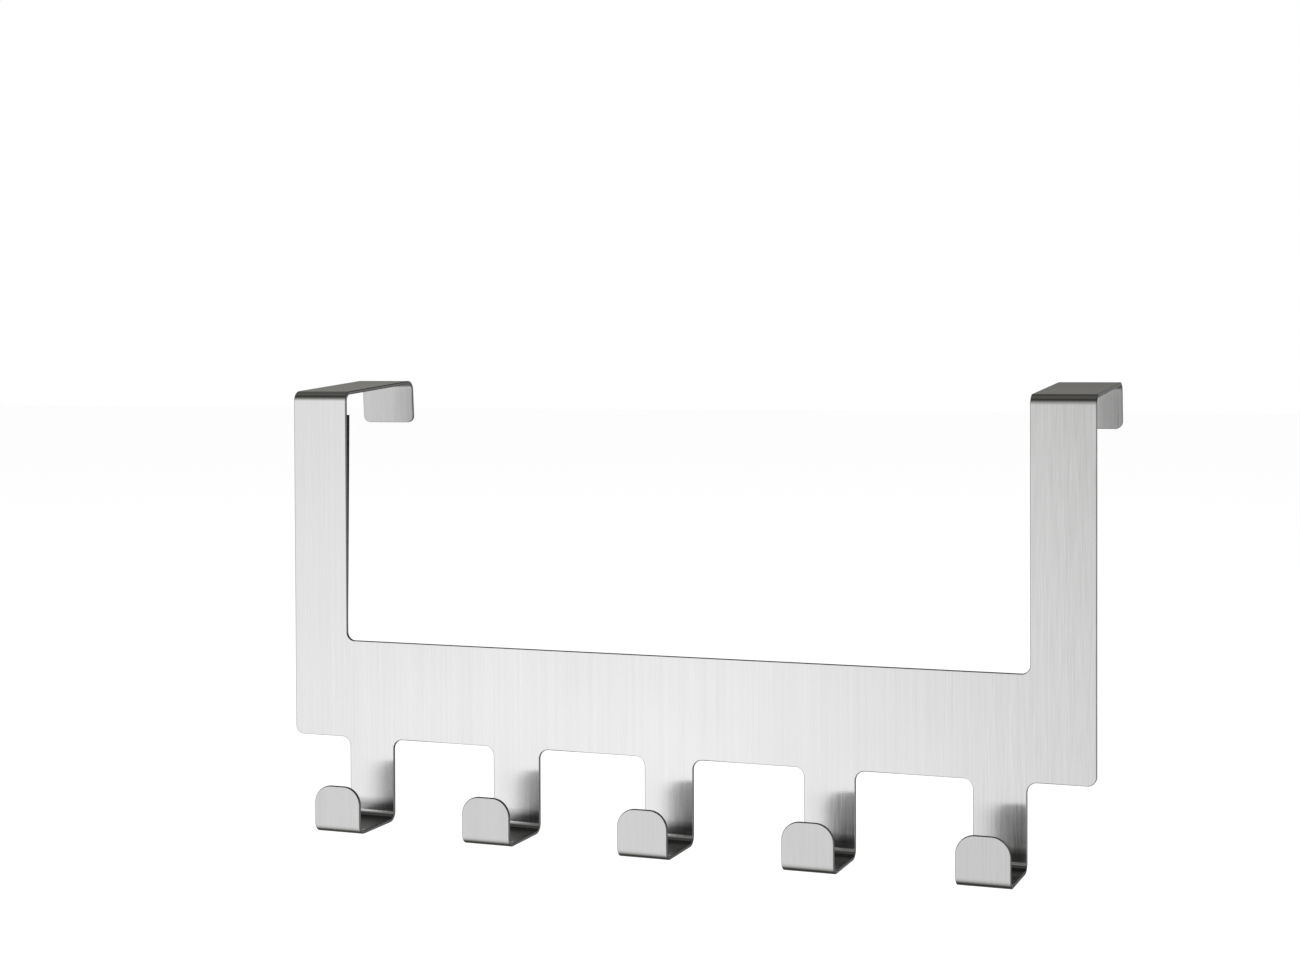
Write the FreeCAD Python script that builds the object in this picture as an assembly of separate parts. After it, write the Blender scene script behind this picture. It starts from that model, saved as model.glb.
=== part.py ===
import FreeCAD, Part
import math
import os

# Coat hook rail that hangs over the top of a door.
#
# It is one laser-cut steel sheet, folded on a press. A flat plate hangs from two upright arms.
# Each arm folds back over the door into a top strip and then down into a short rear tab.
# Five stems below the plate fold forward into a floor and up again into a lip.
# A thin foam pad on the back of each arm keeps the steel off the door.
#
# Frame, in millimetres: +X to the right as seen from the front, +Y into the door, +Z up.
# The origin is the middle of the door's top front edge, between the two arms.

# The sheet and its folds
sheet_thickness = 1.2
bend_inner_radius = 2.2

# The plate and the two arms
overall_width = 280.0
plate_height = 33.5
arm_width = 20.5
arm_length = 85.0
plate_corner_radius = 3.0
arm_root_radius = 2.8

# The fold over the door
door_thickness = 45.0
strip_rise_deg = 4.0
rear_tab_height = 15.5
tab_corner_radius = 2.5

# The hooks
hook_count = 5
hook_pitch = 55.0
hook_width = 17.0
hook_drop = 28.0
hook_depth = 23.5
lip_height = 16.0
lip_corner_radius = 6.0
stem_root_radius = 3.2

# The foam pads
pad_thickness = 1.3
pad_length = 72.0
pad_below_door_top = 7.0
pad_side_inset = 0.1
pad_edge_radius = 0.3

# Levels and faces that follow from the sizes above
bend_outer_radius = bend_inner_radius + sheet_thickness
arm_back_y = -pad_thickness
front_face_y = arm_back_y - sheet_thickness
plate_top_z = -arm_length
plate_bottom_z = plate_top_z - plate_height
hook_bottom_z = plate_bottom_z - hook_drop
lip_top_z = hook_bottom_z + lip_height
lip_front_y = front_face_y - hook_depth
arm_inner_x = overall_width / 2 - arm_width


def hook_centres():
    """X of each hook's middle, evenly spaced about the middle of the rail."""
    middle = (hook_count - 1) / 2
    return [(i - middle) * hook_pitch for i in range(hook_count)]


def heading_vector(heading_deg):
    """Unit vector in the YZ plane: 0 degrees is +Y and 90 degrees is +Z."""
    angle = math.radians(heading_deg)
    return FreeCAD.Vector(0, math.cos(angle), math.sin(angle))


def bend_arc(centre, radius, from_deg, to_deg):
    """Arc in the YZ plane about a bend's centre, as an edge."""
    points = [centre + heading_vector(a) * radius for a in (from_deg, (from_deg + to_deg) / 2, to_deg)]
    return Part.Arc(*points).toShape()


def folded_strip(left_x, width, start, heading_deg, steps):
    """Strip of sheet that starts at a point on its middle plane and follows flats and bends.

    Each step is ("flat", length) or ("bend", degrees), where a positive bend turns from +Y
    towards +Z. Both faces of the sheet are drawn as lines and arcs, and the section is
    extruded across the strip's width.
    """
    half = sheet_thickness / 2
    middle_radius = bend_inner_radius + half
    left_face, right_face = [], []
    first_side = heading_vector(heading_deg + 90) * half
    point = start
    for kind, amount in steps:
        side = heading_vector(heading_deg + 90)
        if kind == "flat":
            end = point + heading_vector(heading_deg) * amount
            left_face.append(Part.LineSegment(point + side * half, end + side * half).toShape())
            right_face.append(Part.LineSegment(point - side * half, end - side * half).toShape())
        else:
            turn = math.copysign(1, amount)
            centre = point + side * (turn * middle_radius)
            from_deg = heading_deg - 90 * turn
            heading_deg += amount
            to_deg = heading_deg - 90 * turn
            left_face.append(bend_arc(centre, middle_radius - turn * half, from_deg, to_deg))
            right_face.append(bend_arc(centre, middle_radius + turn * half, from_deg, to_deg))
            end = centre + heading_vector(to_deg) * middle_radius
        point = end
    last_side = heading_vector(heading_deg + 90) * half
    end_cap = Part.LineSegment(point + last_side, point - last_side).toShape()
    start_cap = Part.LineSegment(start - first_side, start + first_side).toShape()
    section = Part.Wire(Part.__sortEdges__(left_face + [end_cap] + right_face[::-1] + [start_cap]))
    section.translate(FreeCAD.Vector(left_x, 0, 0))
    return Part.Face(section).extrude(FreeCAD.Vector(width, 0, 0))


def middle_of_sheet(z):
    """Point on the middle plane of the upright sheet, at a height."""
    return FreeCAD.Vector(0, arm_back_y - sheet_thickness / 2, z)


def top_strip_flat():
    """Length of the top strip between its two bends.

    The inner face of the rear tab meets the underside of the strip at the far face of the
    thickest door. The strip rises from the front bend to there.
    """
    rise = math.radians(strip_rise_deg)
    underside_start_y = arm_back_y + bend_inner_radius - bend_inner_radius * math.sin(rise)
    return (door_thickness - underside_start_y) / math.cos(rise) - bend_inner_radius


def arm(left_x):
    """One arm with its top strip and rear tab, rooted in the plate."""
    root_z = plate_top_z - plate_height / 2
    steps = [
        ("flat", -bend_inner_radius - root_z),
        ("bend", strip_rise_deg - 90),
        ("flat", top_strip_flat()),
        ("bend", -90),
        ("flat", rear_tab_height - bend_outer_radius),
    ]
    return folded_strip(left_x, arm_width, middle_of_sheet(root_z), 90, steps)


def hook(centre_x):
    """One stem with its floor and lip, rooted in the plate."""
    root_z = plate_bottom_z + plate_height / 2
    steps = [
        ("flat", root_z - hook_bottom_z - bend_outer_radius),
        ("bend", -90),
        ("flat", hook_depth - bend_inner_radius - bend_outer_radius),
        ("bend", -90),
        ("flat", lip_height - bend_outer_radius),
    ]
    return folded_strip(centre_x - hook_width / 2, hook_width, middle_of_sheet(root_z), 270, steps)


def plate():
    """The flat plate before its corners are rounded."""
    corner = FreeCAD.Vector(-overall_width / 2, front_face_y, plate_bottom_z)
    return Part.makeBox(overall_width, sheet_thickness, plate_height, corner)


def cut_edges_at(shape, places):
    """Short edges through the sheet whose middles lie at the given (x, y, z) places."""
    found = []
    for place in places:
        target = FreeCAD.Vector(*place)
        distance = [(e.CenterOfMass - target).Length for e in shape.Edges]
        found.append(shape.Edges[distance.index(min(distance))])
    return found


def rear_tab_foot():
    """Middle of the sheet at the foot of the rear tab, as (y, z)."""
    along = heading_vector(strip_rise_deg)
    up = heading_vector(strip_rise_deg + 90)
    bend_centre = FreeCAD.Vector(0, arm_back_y + bend_inner_radius, -bend_inner_radius)
    reach = top_strip_flat() + bend_inner_radius + sheet_thickness / 2
    drop = rear_tab_height - bend_outer_radius
    foot = bend_centre + along * reach - up * drop
    return foot.y, foot.z


def both_sides(x):
    return (-x, x)


def hook_rail():
    """The whole folded sheet, with every corner of its cut outline rounded."""
    solid = plate()
    strips = [arm(-overall_width / 2), arm(arm_inner_x)]
    strips += [hook(x) for x in hook_centres()]
    solid = solid.fuse(strips).removeSplitter()

    middle_y = middle_of_sheet(0).y
    lip_middle_y = lip_front_y + sheet_thickness / 2
    tab_y, tab_z = rear_tab_foot()
    hook_sides = [x + side for x in hook_centres() for side in both_sides(hook_width / 2)]
    tab_sides = [x for side in (overall_width / 2, arm_inner_x) for x in both_sides(side)]
    rounded = [
        (plate_corner_radius, [(x, middle_y, plate_bottom_z) for x in both_sides(overall_width / 2)]),
        (arm_root_radius, [(x, middle_y, plate_top_z) for x in both_sides(arm_inner_x)]),
        (stem_root_radius, [(x, middle_y, plate_bottom_z) for x in hook_sides]),
        (lip_corner_radius, [(x, lip_middle_y, lip_top_z) for x in hook_sides]),
        (tab_corner_radius, [(x, tab_y, tab_z) for x in tab_sides]),
    ]
    for radius, places in rounded:
        solid = solid.makeFillet(radius, cut_edges_at(solid, places))
    return solid


def door_pad(left_x):
    """Foam pad stuck to the back of an arm, its door side softened at the rim."""
    top_z = -pad_below_door_top
    corner = FreeCAD.Vector(left_x + pad_side_inset, arm_back_y, top_z - pad_length)
    pad = Part.makeBox(arm_width - 2 * pad_side_inset, pad_thickness, pad_length, corner)
    door_side = arm_back_y + pad_thickness
    rim = [e for e in pad.Edges if all(abs(v.Y - door_side) < 1e-6 for v in e.Vertexes)]
    return pad.makeFillet(pad_edge_radius, rim)


def main():
    nodes = {
        "hook_rail": hook_rail(),
        "door_pad_left": door_pad(-overall_width / 2),
        "door_pad_right": door_pad(arm_inner_x),
    }
    os.makedirs("parts", exist_ok=True)
    for name, shape in nodes.items():
        shape.exportStep("parts/" + name + ".step")
        box = shape.BoundBox
        print("%-16s solids %d valid %s volume %.1f mm3 box x %.2f..%.2f y %.2f..%.2f z %.2f..%.2f" % (
            name, len(shape.Solids), shape.isValid(), shape.Volume,
            box.XMin, box.XMax, box.YMin, box.YMax, box.ZMin, box.ZMax))


main()
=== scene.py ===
import bpy
import bmesh
import math
from mathutils import Matrix, Vector, noise


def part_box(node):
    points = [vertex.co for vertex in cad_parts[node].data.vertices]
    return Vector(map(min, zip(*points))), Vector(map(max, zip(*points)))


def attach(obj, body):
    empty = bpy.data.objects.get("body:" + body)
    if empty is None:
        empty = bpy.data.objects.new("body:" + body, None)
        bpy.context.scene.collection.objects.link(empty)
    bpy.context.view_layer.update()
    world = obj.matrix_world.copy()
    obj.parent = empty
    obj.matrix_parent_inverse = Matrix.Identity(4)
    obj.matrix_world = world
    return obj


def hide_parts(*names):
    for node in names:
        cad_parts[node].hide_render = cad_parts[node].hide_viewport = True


# The looks of the coat hook rail: brushed steel with an upright grain, foam pads, studio and camera.
# Lengths are in metres, +X right seen from the front, +Y into the door, +Z up.

# Camera of the photograph, whose picture is 1300 by 960. Its axis passes through the pixel AXIS_X,
# AXIS_Y. Its heading, tilt and roll are in degrees and its sensor in millimetres.
PICTURE_WIDTH, PICTURE_HEIGHT = 1300, 960
FOCAL_PIXELS = 2083.4
AXIS_X, AXIS_Y = 728, 390
CAMERA_PLACE = (0.2496, -0.6344, 0.0144)
CAMERA_HEADING, CAMERA_TILT, CAMERA_ROLL = 19.880, -1.049, -0.193
SENSOR_WIDTH = 36.0
CLIP_NEAR, CLIP_FAR = 0.01, 100.0

# The sheet's cut edges after tumbling. Corners within JOIN_WITHIN of each other and faces within
# FLAT_WITHIN_DEG of flat are joined first, so that the flats shade evenly.
EDGE_ROUNDING = 0.0003
EDGE_SEGMENTS = 3
SHARP_EDGE_DEG = 40
FLAT_WITHIN_DEG = 0.5
JOIN_WITHIN = 0.000002

# The steel's greys
FRONT_GREY, REAR_GREY, CUT_FACE_GREY = 0.62, 0.585, 0.17

# The grain of the brushing, in layers of noise. Each has its changes per metre along X, Y and Z,
# its detail, its roughness, and the share by which it makes the grey lighter and darker. Most
# values of a noise lie from NOISE_LOW to NOISE_HIGH.
GRAIN_LAYERS = {
    "fine": ((1700.0, 60.0, 60.0), 3.0, 0.6, 0.34),
    "long": ((700.0, 7.0, 7.0), 2.0, 0.55, 0.12),
    "wide": ((120.0, 3.0, 3.0), 2.0, 0.5, 0.04),
    "cloud": ((22.0, 22.0, 22.0), 2.0, 0.5, 0.04),
}
NOISE_LOW, NOISE_HIGH = 0.3, 0.7

# The steel's gloss: roughness from low to high in the fine grain, and what the clouding, the rear
# face and the cut faces add to it. The gloss spreads across the grain. That direction is a little
# off X, so that the cut faces, which look along X, have one too.
GRAIN_ROUGHNESS_LOW, GRAIN_ROUGHNESS_HIGH = 0.17, 0.23
CLOUD_ROUGHNESS, REAR_ROUGHNESS, CUT_ROUGHNESS = 0.02, 0.09, 0.12
ANISOTROPY = 0.94
ACROSS_GRAIN = (1.0, 0.03, 0.0)
SCRATCH_BUMP, SCRATCH_DEPTH = 0.35, 0.00002

# A face is cut where its normal has this much along X, or, between the heights where the sheet
# stands upright, no more than this much along Y. The mask is soft between the two values of each.
CUT_FROM_X, CUT_FULLY_X = 0.25, 0.60
CUT_FULLY_Y, BRUSHED_FROM_Y = 0.45, 0.85
UPRIGHT_FROM_Z, UPRIGHT_TO_Z = -0.1450, -0.0008

# The sheet's front face looks away from the middle of the door slot, and below SLOT_ABOVE_Z
# towards the middle of the hooks. Within SIDE_MARGIN it counts as partly front and partly rear.
SLOT_MIDDLE = (0.0, 0.022, -0.008)
HOOK_MIDDLE = (0.0, -0.013, -0.138)
SLOT_ABOVE_Z = -0.06
SIDE_MARGIN = 0.0005

# The strips over the door carry painted shade towards their rear bend, standing in for the darker studio
# that they reflect there
STRIP_FROM_Z = -0.0005
STRIP_SHADE_FROM_Y, STRIP_SHADE_TO_Y, STRIP_PAINTED_SHADE = 0.010, 0.040, 0.25

# Inside a hook, painted shade darkens the floor and the stem just above the bend, standing in for the
# dark inside of the hook that they reflect, and the bend between is left unshaded: share of the
# brightness kept at each height. The lip is not shaded.
LIP_FROM_Y, FLOOR_FROM_Y = -0.0215, -0.0205
HOOK_PAINTED_SHADE = ((-0.1456, 0.36), (-0.1450, 0.42), (-0.1445, 1.0), (-0.1435, 1.0), (-0.1430, 0.42),
                   (-0.1412, 0.45), (-0.1385, 1.0))

# The foam pads are die-cut strips, a little narrower than their room and stuck slightly askew. Each
# is moved along X by PAD_SHIFT, and its top lies PAD_LEAN further along X than its lower end.
PAD_WIDTH = 0.0195
PAD_SHIFT = {"left": 0.00015, "right": 0.0}
PAD_LEAN = {"left": 0.00105, "right": -0.00030}
PAD_RIM = 0.00008
PAD_FACES_ACROSS, PAD_FACES_ALONG = 40, 96

# A pad's uneven skin: its depth, its changes per metre, and the slice of the noise that it follows.
# Faces that look along Y by more than SMOOTH_FROM_Y shade smoothly, and the thin sides are flat.
SKIN_DEPTH, SKIN_WAVES, SKIN_SLICE = 0.00003, 420, 3.1
SMOOTH_FROM_Y = 0.3

# The foam's cells and mottling, in changes per metre. The black is darkest in the middle of a cell
# and lightest at its wall, and dust lightens it where the mottling is high.
FOAM_CELLS = 2600.0
FOAM_MOTTLE, FOAM_MOTTLE_DETAIL, FOAM_MOTTLE_ROUGHNESS = (400.0, 400.0, 400.0), 3.0, 0.5
CELL_MIDDLE, CELL_WALL = 0.1, 0.8
FOAM_DARKEST, FOAM_LIGHTEST = 0.002, 0.009
DUST_FROM, DUST_FULLY, DUST_GREY = 0.35, 0.7, 0.004
FOAM_ROUGHNESS_LOW, FOAM_ROUGHNESS_HIGH = 0.82, 0.97
FOAM_SPECULAR = 0.12
FOAM_BUMP, FOAM_BUMP_DEPTH = 0.6, 0.00012

# The studio that the steel reflects. Three rings about the X axis give its brightness as (degrees,
# level): 0 degrees is the horizon in front, 90 overhead, 180 the horizon behind, -90 straight down.
# The lines of a ring are what lies below behind, below in front, above in front and above behind.
# The studio is bright low in front, darkest high in front and under the rail, and has a faint
# light overhead.
LEFT_RING = (
    (-180, 0.36), (-168, 0.72), (-150, 0.50), (-130, 0.20), (-110, 0.03), (-96, 0.08),
    (-88, 0.25), (-74, 0.60), (-59, 0.84), (-45, 0.95), (-12, 1.0), (-1, 0.95),
    (8, 0.73), (17, 0.46), (29, 0.18), (41, 0.05), (54, 0.03), (68, 0.07),
    (90, 0.13), (104, 0.11), (120, 0.10), (150, 0.23), (163, 0.28), (172, 0.31), (180, 0.36))
MIDDLE_RING = (
    (-180, 0.25), (-168, 0.75), (-150, 0.40), (-130, 0.08), (-110, 0.02), (-96, 0.04),
    (-88, 0.10), (-74, 0.27), (-59, 0.52), (-45, 0.76), (-30, 0.92), (-12, 1.0), (-6, 0.86), (-1, 0.66),
    (12, 0.58), (24, 0.51), (36, 0.33), (47, 0.10), (58, 0.03), (74, 0.10),
    (96, 0.13), (114, 0.09), (130, 0.06), (150, 0.10), (165, 0.17), (180, 0.25))
RIGHT_RING = (
    (-180, 0.50), (-176, 0.42), (-171, 0.10), (-161, 0.10), (-148, 0.32), (-128, 0.30), (-108, 0.05),
    (-90, 0.15), (-60, 0.80), (-30, 1.0), (0, 0.90),
    (20, 0.50), (48, 0.10), (58, 0.04), (74, 0.10),
    (96, 0.13), (114, 0.08), (130, 0.05), (163, 0.06), (169, 0.35), (172, 0.48), (180, 0.50))

# Where each ring holds alone, by how much of the direction is along X. The rings blend in between.
LEFT_RING_TO, MIDDLE_RING_FROM = -0.50, -0.17
MIDDLE_RING_TO, RIGHT_RING_FROM = -0.05, 0.15

# The front half of the studio is brightest a little to the left, as (part along X, share), and
# fades into the rear half over FRONT_MARGIN along Y to each side
FRONT_ACROSS = ((-1.0, 0.05), (-0.90, 0.12), (-0.77, 0.85), (-0.545, 1.38), (-0.42, 1.66), (-0.31, 1.92),
                (-0.245, 1.60), (-0.20, 1.08), (-0.14, 0.84), (0.0, 0.67), (0.34, 0.60), (0.87, 0.55),
                (1.0, 0.55))
FRONT_MARGIN = 0.1

# To the far right the studio is open and bright, up to a little above the horizon
OPEN_SIDE_FROM_X, OPEN_SIDE_FULLY_X, OPEN_SIDE_LEVEL = 0.56, 0.70, 1.15
OPEN_SIDE_FADES_FROM_Z, OPEN_SIDE_FADES_TO_Z = 0.1, 0.5

# The studio's dim parts are a little warm, and its bright parts are neutral
DIM_WARMTH = (1.0, 0.985, 0.92)
WARM_BELOW, NEUTRAL_ABOVE = 0.2, 0.7

# The floor, which glows to the camera alone by the given share
FLOOR_Z = -0.36
FLOOR_SIZE = 24.0
FLOOR_COLOUR = (0.93, 0.93, 0.925, 1.0)
FLOOR_GLOW = 0.75
WHITE = (1.0, 1.0, 1.0, 1.0)

# Two soft boxes light the floor and the pads. The steel doesn't reflect them.
LAMP_SIZE = 2.0
KEY_PLACE, KEY_TARGET, KEY_WATTS = (-0.9, -1.6, 1.9), (0.0, -0.4, FLOOR_Z), 70.0
FILL_PLACE, FILL_TARGET, FILL_WATTS = (1.2, 1.2, 1.8), (0.0, 0.0, FLOOR_Z), 30.0


def node(tree, kind, **inputs):
    """Adds a shader node and sets the named inputs."""
    made = tree.nodes.new(kind)
    for name, value in inputs.items():
        made.inputs[name.replace("_", " ")].default_value = value
    return made


def maths(tree, operation, first, second=None, clamp=False):
    """A Math node on two values, each a number or an output socket."""
    made = tree.nodes.new("ShaderNodeMath")
    made.operation = operation
    made.use_clamp = clamp
    for slot, value in enumerate((first, second)):
        if value is None:
            continue
        if isinstance(value, (int, float)):
            made.inputs[slot].default_value = value
        else:
            tree.links.new(value, made.inputs[slot])
    return made.outputs[0]


def total(tree, values):
    """Sum of several values."""
    so_far = values[0]
    for value in values[1:]:
        so_far = maths(tree, "ADD", so_far, value)
    return so_far


def blend(tree, first, second, share):
    """Between two values, by a share from 0 to 1 of the second."""
    kept = maths(tree, "MULTIPLY", maths(tree, "SUBTRACT", 1.0, share), first)
    return maths(tree, "ADD", kept, maths(tree, "MULTIPLY", share, second))


def remap(tree, value, from_low, from_high, to_low, to_high):
    """Maps a value from one range to another, held at the ends."""
    made = tree.nodes.new("ShaderNodeMapRange")
    tree.links.new(value, made.inputs["Value"])
    for name, number in (("From Min", from_low), ("From Max", from_high),
                         ("To Min", to_low), ("To Max", to_high)):
        made.inputs[name].default_value = number
    return made.outputs["Result"]


def curve(tree, value, stops):
    """Level read off a curve of (value, level) stops, held at its ends."""
    low, high = stops[0][0], stops[-1][0]
    made = tree.nodes.new("ShaderNodeValToRGB")
    elements = made.color_ramp.elements
    while len(elements) < len(stops):
        elements.new(0.5)
    for element, (position, level) in zip(elements, stops):
        element.position = (position - low) / (high - low)
        element.color = (level, level, level, 1.0)
    tree.links.new(remap(tree, value, low, high, 0.0, 1.0), made.inputs[0])
    return made.outputs[0]


def split(tree, vector):
    """The three parts of a vector."""
    made = tree.nodes.new("ShaderNodeSeparateXYZ")
    tree.links.new(vector, made.inputs[0])
    return made.outputs


def stretched_noise(tree, coordinate, scale, detail, roughness):
    """Noise whose grain is stretched differently along each axis."""
    mapping = node(tree, "ShaderNodeMapping", Scale=scale)
    tree.links.new(coordinate, mapping.inputs["Vector"])
    made = node(tree, "ShaderNodeTexNoise", Scale=1.0, Detail=detail, Roughness=roughness)
    tree.links.new(mapping.outputs["Vector"], made.inputs["Vector"])
    return made.outputs["Fac"]


def add_bump(tree, shader, height, strength, depth):
    """Bumps the shader's surface by a pattern."""
    bump = node(tree, "ShaderNodeBump", Strength=strength, Distance=depth)
    tree.links.new(height, bump.inputs["Height"])
    tree.links.new(bump.outputs["Normal"], shader.inputs["Normal"])


def mix_shaders(tree, share, first, second, surface):
    """Links two shaders to a surface socket, by a share from 0 to 1 of the second."""
    mix = tree.nodes.new("ShaderNodeMixShader")
    tree.links.new(share, mix.inputs[0])
    tree.links.new(first.outputs[0], mix.inputs[1])
    tree.links.new(second.outputs[0], mix.inputs[2])
    tree.links.new(mix.outputs[0], surface)


def new_material(name):
    """A node material, its tree and its Principled shader."""
    material = bpy.data.materials.new(name)
    material.use_nodes = True
    tree = material.node_tree
    return material, tree, tree.nodes["Principled BSDF"]


def new_object(name, data):
    """An object with the given data, in the scene."""
    made = bpy.data.objects.new(name, data)
    bpy.context.scene.collection.objects.link(made)
    return made


def cut_face_mask(tree, normal, height):
    """1 on the faces that the laser cut and 0 on the brushed faces, softly joined.

    On the upright parts a cut face has no part of its normal along Y. On the strips and the
    hooks' floors, above and below the upright zone, only the faces to the sides are cut.
    """
    across, into, _ = split(tree, normal)
    sideways = remap(tree, maths(tree, "ABSOLUTE", across), CUT_FROM_X, CUT_FULLY_X, 0.0, 1.0)
    square_to_faces = remap(tree, maths(tree, "ABSOLUTE", into), CUT_FULLY_Y, BRUSHED_FROM_Y, 1.0, 0.0)
    upright = maths(tree, "MULTIPLY", maths(tree, "GREATER_THAN", height, UPRIGHT_FROM_Z),
                    maths(tree, "LESS_THAN", height, UPRIGHT_TO_Z))
    return maths(tree, "MAXIMUM", sideways, maths(tree, "MULTIPLY", square_to_faces, upright))


def looks_away_from(tree, middle, where, normal):
    """Positive where a face looks away from a line along X through the given middle."""
    section = tree.nodes.new("ShaderNodeVectorMath")
    section.operation = "MULTIPLY"
    section.inputs[1].default_value = (0.0, 1.0, 1.0)
    tree.links.new(where, section.inputs[0])
    out_from = tree.nodes.new("ShaderNodeVectorMath")
    out_from.operation = "SUBTRACT"
    out_from.inputs[1].default_value = middle
    tree.links.new(section.outputs[0], out_from.inputs[0])
    along = tree.nodes.new("ShaderNodeVectorMath")
    along.operation = "DOT_PRODUCT"
    tree.links.new(out_from.outputs[0], along.inputs[0])
    tree.links.new(normal, along.inputs[1])
    return along.outputs["Value"]


def rear_face_mask(tree, where, normal, height):
    """1 on the sheet's rear face, which is duller, and 0 on its front face."""
    at_slot = maths(tree, "GREATER_THAN", height, SLOT_ABOVE_Z)
    slot = looks_away_from(tree, SLOT_MIDDLE, where, normal)
    hooks = maths(tree, "MULTIPLY", looks_away_from(tree, HOOK_MIDDLE, where, normal), -1.0)
    front = maths(tree, "ADD", maths(tree, "MULTIPLY", slot, at_slot),
                  maths(tree, "MULTIPLY", hooks, maths(tree, "SUBTRACT", 1.0, at_slot)))
    return remap(tree, front, -SIDE_MARGIN, SIDE_MARGIN, 1.0, 0.0)


def brushing(tree, where):
    """The layers of the grain by name, and the share by which they change the grey together."""
    layers = {}
    changes = []
    for name, (scale, detail, roughness, strength) in GRAIN_LAYERS.items():
        layers[name] = stretched_noise(tree, where, scale, detail, roughness)
        about_zero = maths(tree, "SUBTRACT", layers[name], 0.5)
        changes.append(maths(tree, "MULTIPLY", about_zero, strength))
    return layers, total(tree, changes)


def painted_shade_on_strips(tree, depth, height, rear):
    """Share of the brightness kept under the painted shade on the strips over the door, and 1 everywhere
    else.
    """
    on_strip = maths(tree, "MULTIPLY", maths(tree, "GREATER_THAN", height, STRIP_FROM_Z),
                     maths(tree, "SUBTRACT", 1.0, rear))
    shaded = remap(tree, depth, STRIP_SHADE_FROM_Y, STRIP_SHADE_TO_Y, 0.0, STRIP_PAINTED_SHADE)
    return maths(tree, "SUBTRACT", 1.0, maths(tree, "MULTIPLY", on_strip, shaded))


def painted_shade_in_hooks(tree, depth, height, rear):
    """Share of the brightness kept under the painted shade inside the hooks, and 1 on their lips and the
    rear face.
    """
    by_height = curve(tree, height, HOOK_PAINTED_SHADE)
    on_lip = remap(tree, depth, LIP_FROM_Y, FLOOR_FROM_Y, 1.0, 0.0)
    return maths(tree, "MAXIMUM", rear, maths(tree, "MAXIMUM", by_height, on_lip))


def steel_grey(tree, depth, height, rear, cut):
    """The steel's grey without its grain, with painted shade on the strips and inside the hooks."""
    brushed = remap(tree, rear, 0.0, 1.0, FRONT_GREY, REAR_GREY)
    # Painted shade on the strips, darker towards their rear bend
    brushed = maths(tree, "MULTIPLY", brushed, painted_shade_on_strips(tree, depth, height, rear))
    # Painted shade inside the hooks, on their floors and low on their stems
    brushed = maths(tree, "MULTIPLY", brushed, painted_shade_in_hooks(tree, depth, height, rear))
    return blend(tree, brushed, CUT_FACE_GREY, cut)


def brushed_steel():
    """Stainless sheet with a fine upright grain, duller behind and dark where it was cut, with painted
    shade on its strips and inside its hooks.
    """
    material, tree, shader = new_material("brushed_steel_sheet")
    coordinates = tree.nodes.new("ShaderNodeTexCoord").outputs
    where, normal = coordinates["Object"], coordinates["Normal"]
    _, depth, height = split(tree, where)
    cut = cut_face_mask(tree, normal, height)
    rear = rear_face_mask(tree, where, normal, height)
    layers, grain = brushing(tree, where)

    grey = steel_grey(tree, depth, height, rear, cut)
    shade = maths(tree, "MULTIPLY", grey, maths(tree, "ADD", grain, 1.0), clamp=True)
    tree.links.new(shade, shader.inputs["Base Color"])
    shader.inputs["Metallic"].default_value = 1.0

    # The scratches scatter light across the grain, and hardly along it
    rough = total(tree, [
        remap(tree, layers["fine"], NOISE_LOW, NOISE_HIGH, GRAIN_ROUGHNESS_LOW, GRAIN_ROUGHNESS_HIGH),
        remap(tree, layers["cloud"], NOISE_LOW, NOISE_HIGH, 0.0, CLOUD_ROUGHNESS),
        maths(tree, "MULTIPLY", rear, REAR_ROUGHNESS),
        maths(tree, "MULTIPLY", cut, CUT_ROUGHNESS)])
    tree.links.new(rough, shader.inputs["Roughness"])
    shader.inputs["Anisotropic"].default_value = ANISOTROPY
    across = node(tree, "ShaderNodeVectorTransform", Vector=ACROSS_GRAIN)
    across.vector_type = "VECTOR"
    across.convert_from, across.convert_to = "OBJECT", "WORLD"
    tree.links.new(across.outputs["Vector"], shader.inputs["Tangent"])
    add_bump(tree, shader, layers["fine"], SCRATCH_BUMP, SCRATCH_DEPTH)
    return material


def foam():
    """Black closed-cell foam: matt, with fine cells and a little dust in patches."""
    material, tree, shader = new_material("black_foam")
    where = tree.nodes.new("ShaderNodeTexCoord").outputs["Object"]
    cells = node(tree, "ShaderNodeTexVoronoi", Scale=FOAM_CELLS)
    tree.links.new(where, cells.inputs["Vector"])
    cell = cells.outputs["Distance"]
    mottle = stretched_noise(tree, where, FOAM_MOTTLE, FOAM_MOTTLE_DETAIL, FOAM_MOTTLE_ROUGHNESS)

    grey = maths(tree, "ADD", remap(tree, cell, CELL_MIDDLE, CELL_WALL, FOAM_DARKEST, FOAM_LIGHTEST),
                 remap(tree, mottle, DUST_FROM, DUST_FULLY, 0.0, DUST_GREY))
    tree.links.new(grey, shader.inputs["Base Color"])
    rough = remap(tree, mottle, NOISE_LOW, NOISE_HIGH, FOAM_ROUGHNESS_LOW, FOAM_ROUGHNESS_HIGH)
    tree.links.new(rough, shader.inputs["Roughness"])
    shader.inputs["Specular IOR Level"].default_value = FOAM_SPECULAR
    add_bump(tree, shader, cell, FOAM_BUMP, FOAM_BUMP_DEPTH)
    return material


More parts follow.
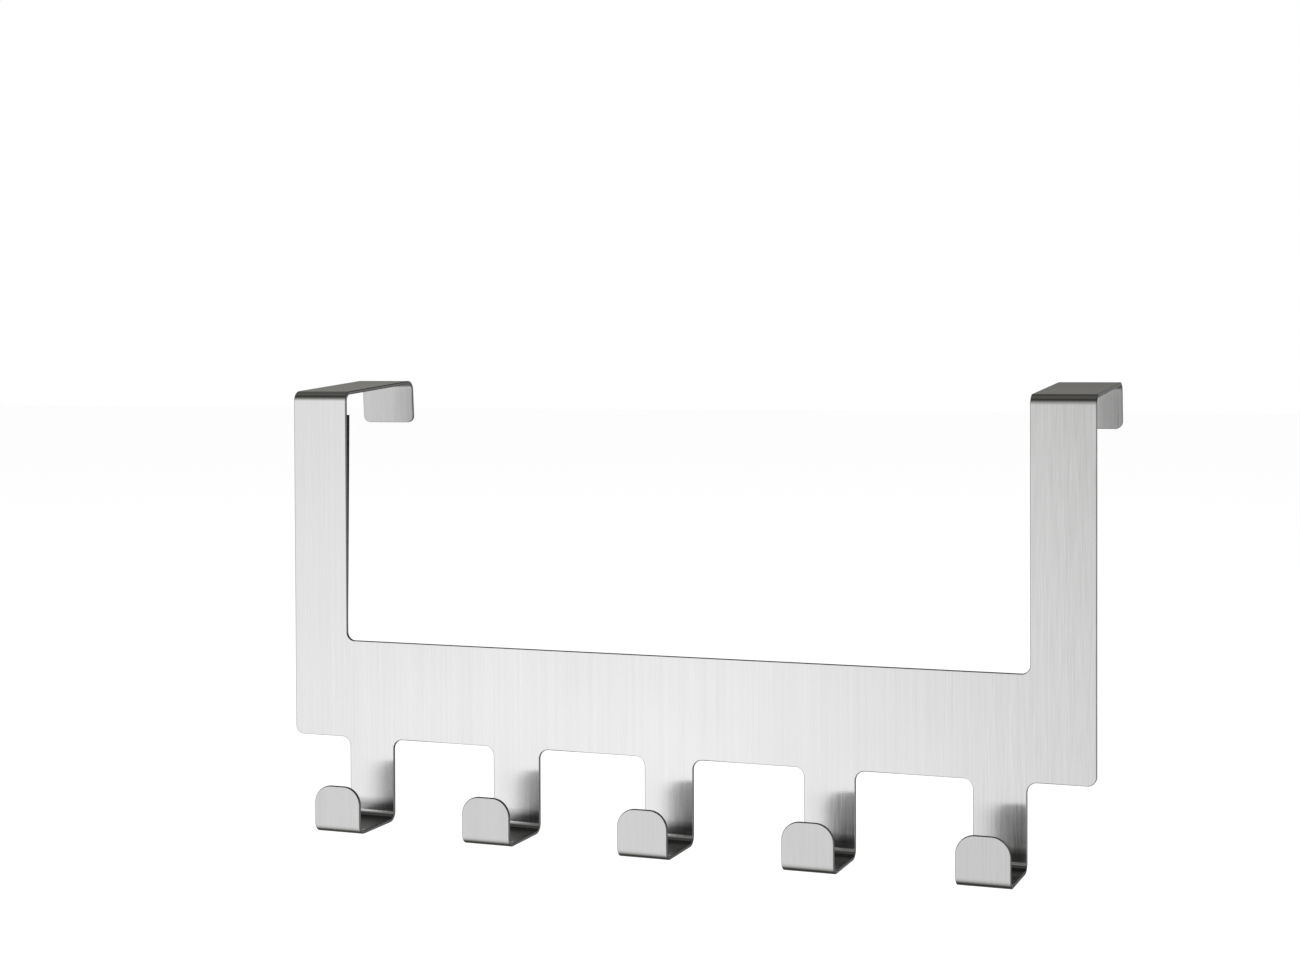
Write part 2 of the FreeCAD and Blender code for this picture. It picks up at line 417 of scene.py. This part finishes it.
def dress_sheet(sheet, material):
    """Gives the CAD sheet its steel and softens its cut edges, without touching its mesh."""
    sheet.data.materials.clear()
    sheet.data.materials.append(material)
    weld = sheet.modifiers.new("join_corners", "WELD")
    weld.merge_threshold = JOIN_WITHIN
    whole = sheet.modifiers.new("flats_in_one_piece", "DECIMATE")
    whole.decimate_type = "DISSOLVE"
    whole.angle_limit = math.radians(FLAT_WITHIN_DEG)
    bevel = sheet.modifiers.new("tumbled_edges", "BEVEL")
    bevel.width = EDGE_ROUNDING
    bevel.segments = EDGE_SEGMENTS
    bevel.limit_method = "ANGLE"
    bevel.angle_limit = math.radians(SHARP_EDGE_DEG)
    bevel.use_clamp_overlap = False
    bevel.face_strength_mode = "FSTR_AFFECTED"
    even = sheet.modifiers.new("flat_faces_stay_flat", "WEIGHTED_NORMAL")
    even.mode = "FACE_AREA"
    even.use_face_influence = True
    even.keep_sharp = False


def crowded_to_ends(i, count):
    """Steps from 0 to 1 that crowd towards both ends, so that a rim is round."""
    return 0.5 - 0.5 * math.cos(math.pi * i / count)


def pad_point(side, low, high, u, v, on_door_side):
    """Point of a pad at u across and v up, on its door side or on the steel."""
    size = high - low
    x = (low.x + high.x) / 2 + PAD_SHIFT[side] + (v - 0.5) * PAD_LEAN[side] + (u - 0.5) * PAD_WIDTH
    z = low.z + size.z * v
    if not on_door_side:
        return Vector((x, low.y, z))
    to_edge = min(u * PAD_WIDTH, (1 - u) * PAD_WIDTH, v * size.z, (1 - v) * size.z)
    round_off = 0.0
    if to_edge < PAD_RIM:
        round_off = 1 - math.sqrt(max(0.0, 1 - (1 - to_edge / PAD_RIM) ** 2))
    wave = noise.noise(Vector((x * SKIN_WAVES, SKIN_SLICE, z * SKIN_WAVES)))
    skin = SKIN_DEPTH * (0.5 + 0.5 * wave)
    return Vector((x, low.y + size.y - round_off * PAD_RIM - skin, z))


def foam_pad(side, material):
    """Soft pad in the space of its CAD solid: rounded rim on the door side, slightly uneven."""
    low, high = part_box("door_pad_" + side)
    across, along = PAD_FACES_ACROSS, PAD_FACES_ALONG
    mesh = bmesh.new()
    sheets = []
    for on_door_side in (False, True):
        rows = [[mesh.verts.new(pad_point(side, low, high, crowded_to_ends(i, across),
                                          crowded_to_ends(j, along), on_door_side))
                 for i in range(across + 1)] for j in range(along + 1)]
        sheets.append(rows)
        for j in range(along):
            for i in range(across):
                corners = [rows[j][i], rows[j][i + 1], rows[j + 1][i + 1], rows[j + 1][i]]
                mesh.faces.new(corners[::-1] if on_door_side else corners)

    # The thin sides, all the way round
    steel_side, door_side = sheets
    border = [(0, i) for i in range(across)] + [(j, across) for j in range(along)]
    border += [(along, i) for i in range(across, 0, -1)] + [(j, 0) for j in range(along, 0, -1)]
    for k, (j, i) in enumerate(border):
        nj, ni = border[(k + 1) % len(border)]
        mesh.faces.new([steel_side[nj][ni], steel_side[j][i], door_side[j][i], door_side[nj][ni]])

    name = "foam_pad_" + side
    data = bpy.data.meshes.new(name)
    mesh.normal_update()
    mesh.to_mesh(data)
    mesh.free()
    for face in data.polygons:
        face.use_smooth = abs(face.normal.y) > SMOOTH_FROM_Y
    data.materials.append(material)
    return new_object(name, data)


def floor():
    """Plain pale floor, seamless with the backdrop in the picture and still holding the shadow."""
    half = FLOOR_SIZE / 2
    data = bpy.data.meshes.new("studio_floor")
    corners = [(x, y, FLOOR_Z) for x, y in ((-half, -half), (half, -half), (half, half), (-half, half))]
    data.from_pydata(corners, [], [(0, 1, 2, 3)])
    made = new_object("studio_floor", data)

    material, tree, shader = new_material("pale_floor")
    shader.inputs["Base Color"].default_value = FLOOR_COLOUR
    shader.inputs["Roughness"].default_value = 1.0
    shader.inputs["Specular IOR Level"].default_value = 0.0
    glow = node(tree, "ShaderNodeEmission", Color=WHITE, Strength=1.0)
    rays = tree.nodes.new("ShaderNodeLightPath")
    share = maths(tree, "MULTIPLY", rays.outputs["Is Camera Ray"], FLOOR_GLOW)
    mix_shaders(tree, share, shader, glow, tree.nodes["Material Output"].inputs["Surface"])
    data.materials.append(material)
    made.visible_glossy = False


def studio_level(tree, x, y, z):
    """Brightness of the studio in the direction x, y, z."""
    around = maths(tree, "DEGREES", maths(tree, "ARCTAN2", z, maths(tree, "MULTIPLY", y, -1.0)))
    left, middle, right = [curve(tree, around, ring) for ring in (LEFT_RING, MIDDLE_RING, RIGHT_RING)]
    to_middle = remap(tree, x, LEFT_RING_TO, MIDDLE_RING_FROM, 0.0, 1.0)
    to_right = remap(tree, x, MIDDLE_RING_TO, RIGHT_RING_FROM, 0.0, 1.0)
    level = blend(tree, blend(tree, left, middle, to_middle), right, to_right)

    in_front = remap(tree, y, -FRONT_MARGIN, FRONT_MARGIN, 1.0, 0.0)
    across = blend(tree, 1.0, curve(tree, x, FRONT_ACROSS), in_front)
    level = maths(tree, "MULTIPLY", level, across)

    open_side = remap(tree, x, OPEN_SIDE_FROM_X, OPEN_SIDE_FULLY_X, 0.0, OPEN_SIDE_LEVEL)
    low_down = remap(tree, z, OPEN_SIDE_FADES_FROM_Z, OPEN_SIDE_FADES_TO_Z, 1.0, 0.0)
    return maths(tree, "MAXIMUM", level, maths(tree, "MULTIPLY", open_side, low_down))


def studio_world():
    """White to the camera and to matt surfaces. Glossy ones reflect the studio."""
    world = bpy.data.worlds.new("studio")
    bpy.context.scene.world = world
    world.use_nodes = True
    tree = world.node_tree
    tree.nodes.clear()
    direction = tree.nodes.new("ShaderNodeTexCoord").outputs["Generated"]
    level = studio_level(tree, *split(tree, direction))

    tint = tree.nodes.new("ShaderNodeCombineColor")
    for channel, warmth in enumerate(DIM_WARMTH):
        share = remap(tree, level, WARM_BELOW, NEUTRAL_ABOVE, warmth, 1.0)
        tree.links.new(maths(tree, "MULTIPLY", level, share), tint.inputs[channel])
    studio = node(tree, "ShaderNodeBackground", Strength=1.0)
    tree.links.new(tint.outputs[0], studio.inputs["Color"])

    white = node(tree, "ShaderNodeBackground", Color=WHITE, Strength=1.0)
    rays = tree.nodes.new("ShaderNodeLightPath")
    plain = maths(tree, "ADD", rays.outputs["Is Camera Ray"], rays.outputs["Is Diffuse Ray"], clamp=True)
    out = tree.nodes.new("ShaderNodeOutputWorld")
    mix_shaders(tree, plain, studio, white, out.inputs["Surface"])


def soft_lamp(name, place, target, watts):
    """Square soft box that faces a point."""
    data = bpy.data.lights.new(name, "AREA")
    data.shape = "SQUARE"
    data.size = LAMP_SIZE
    data.energy = watts
    lamp = new_object(name, data)
    lamp.location = place
    lamp.rotation_euler = (Vector(target) - Vector(place)).to_track_quat("-Z", "Y").to_euler()
    lamp.visible_glossy = False


def camera():
    """The photograph's camera, found from the rail's own edges."""
    data = bpy.data.cameras.new("photo_camera")
    data.sensor_width = SENSOR_WIDTH
    data.lens = FOCAL_PIXELS / PICTURE_WIDTH * SENSOR_WIDTH
    data.shift_x = (PICTURE_WIDTH / 2 - AXIS_X) / PICTURE_WIDTH
    data.shift_y = (AXIS_Y - PICTURE_HEIGHT / 2) / PICTURE_WIDTH
    data.clip_start = CLIP_NEAR
    data.clip_end = CLIP_FAR
    made = new_object("photo_camera", data)
    turn = Matrix.Rotation(math.radians(CAMERA_HEADING), 4, "Z")
    tilt = Matrix.Rotation(math.radians(90 + CAMERA_TILT), 4, "X")
    roll = Matrix.Rotation(math.radians(CAMERA_ROLL), 4, "Z")
    made.matrix_world = Matrix.Translation(CAMERA_PLACE) @ turn @ tilt @ roll
    bpy.context.scene.camera = made


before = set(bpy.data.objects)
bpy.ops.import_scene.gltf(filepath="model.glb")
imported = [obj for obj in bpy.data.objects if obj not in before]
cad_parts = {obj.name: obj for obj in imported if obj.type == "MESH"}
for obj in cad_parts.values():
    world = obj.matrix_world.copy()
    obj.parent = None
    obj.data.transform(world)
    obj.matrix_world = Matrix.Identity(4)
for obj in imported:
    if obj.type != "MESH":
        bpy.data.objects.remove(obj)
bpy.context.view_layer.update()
bpy.context.scene.view_settings.view_transform = "Standard"

camera()
floor()
studio_world()
soft_lamp("key_soft_box", KEY_PLACE, KEY_TARGET, KEY_WATTS)
soft_lamp("fill_soft_box", FILL_PLACE, FILL_TARGET, FILL_WATTS)

dress_sheet(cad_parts["hook_rail"], brushed_steel())
foam_material = foam()
for side in ("left", "right"):
    pad = foam_pad(side, foam_material)
    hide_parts("door_pad_" + side)
    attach(pad, "root")
